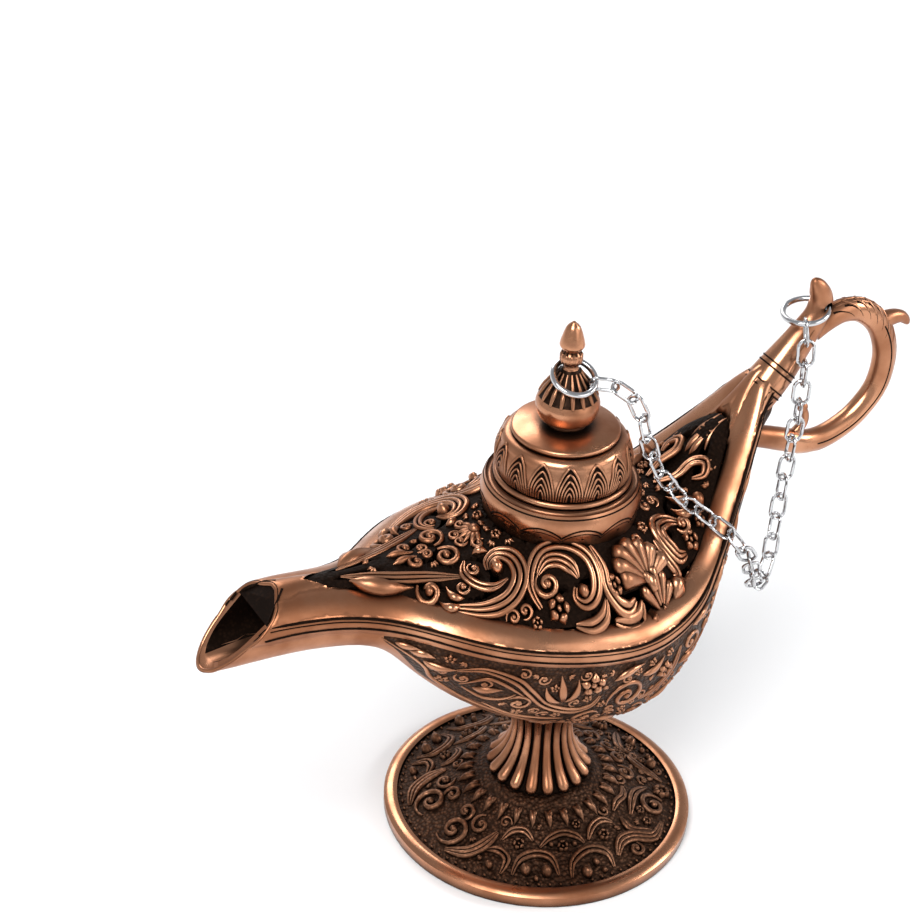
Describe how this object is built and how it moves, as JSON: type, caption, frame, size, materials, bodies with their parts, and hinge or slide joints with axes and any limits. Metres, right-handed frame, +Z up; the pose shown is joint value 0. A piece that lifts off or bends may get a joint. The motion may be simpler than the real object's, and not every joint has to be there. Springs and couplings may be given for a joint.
{
  "type": "oil lamp",
  "caption": "Genie oil lamp with a boat-shaped hollow body, pierced cover, lift-off lid, reeded pedestal, finger loop handle and a safety chain.",
  "frame": {"origin": "centre of the foot's flat underside", "axes": "+Z up along the lid and pedestal axis, spout towards -X, handle towards +X"},
  "size_m": [0.1333, 0.054, 0.0985],
  "materials": {
    "copper_casting": "antique copper plating, dark in the recesses, polished on the raised parts",
    "steel_wire": "bright nickel plated steel wire",
    "screw": "plain zinc plated"
  },
  "bodies": {
    "lamp": {"bowl": "copper_casting", "bowl_screw": "screw", "collar": "copper_casting", "cover": "copper_casting", "foot": "copper_casting", "handle_loop": "copper_casting", "handle_neck": "copper_casting", "pedestal": "copper_casting", "rim": "copper_casting", "chain_link_01": "steel_wire", "chain_link_02": "steel_wire", "chain_link_03": "steel_wire", "chain_link_04": "steel_wire", "chain_link_05": "steel_wire", "chain_link_06": "steel_wire", "chain_link_07": "steel_wire", "chain_link_08": "steel_wire", "chain_link_09": "steel_wire", "chain_link_10": "steel_wire", "chain_link_11": "steel_wire", "chain_link_12": "steel_wire", "chain_link_13": "steel_wire", "chain_link_14": "steel_wire", "chain_link_15": "steel_wire", "chain_link_16": "steel_wire", "chain_link_17": "steel_wire", "chain_link_18": "steel_wire", "chain_link_19": "steel_wire", "chain_link_20": "steel_wire", "chain_link_21": "steel_wire", "chain_link_22": "steel_wire", "chain_link_23": "steel_wire", "chain_link_24": "steel_wire", "chain_link_25": "steel_wire", "chain_link_26": "steel_wire", "chain_link_27": "steel_wire", "chain_link_28": "steel_wire", "chain_link_29": "steel_wire", "chain_link_30": "steel_wire", "chain_link_31": "steel_wire"},
    "lid_ring": {"finial_ring": "steel_wire"},
    "lid": {"lid_shell": "copper_casting", "lid_plug": "copper_casting", "finial": "copper_casting", "finial_screw": "screw"},
    "hook_ring": {"handle_ring": "steel_wire"}
  },
  "joints": [
    {"name": "lid_lift", "type": "slide", "parent": "lamp", "child": "lid_ring", "axis": [0, 0, 1], "range_m": [0, 0.0085], "deforming": ["chain_link_01", "chain_link_02", "chain_link_03", "chain_link_04", "chain_link_05", "chain_link_06", "chain_link_07", "chain_link_08", "chain_link_09", "chain_link_10", "chain_link_11", "chain_link_12", "chain_link_13", "chain_link_14", "chain_link_15", "chain_link_16", "chain_link_17", "chain_link_18"]},
    {"name": "lid_turn", "type": "hinge", "parent": "lid_ring", "child": "lid", "pos_m": [0, 0, 0.08], "axis": [0, 0, 1], "continuous": true},
    {"name": "handle_ring_swing", "type": "hinge", "parent": "lamp", "child": "hook_ring", "pos_m": [0.0492, 0, 0.0902], "axis": [0, 1, 0], "range_deg": [-10, 35], "deforming": ["chain_link_19", "chain_link_20", "chain_link_21", "chain_link_22", "chain_link_23", "chain_link_24", "chain_link_25", "chain_link_26", "chain_link_27", "chain_link_28", "chain_link_29", "chain_link_30", "chain_link_31"]}
  ]
}
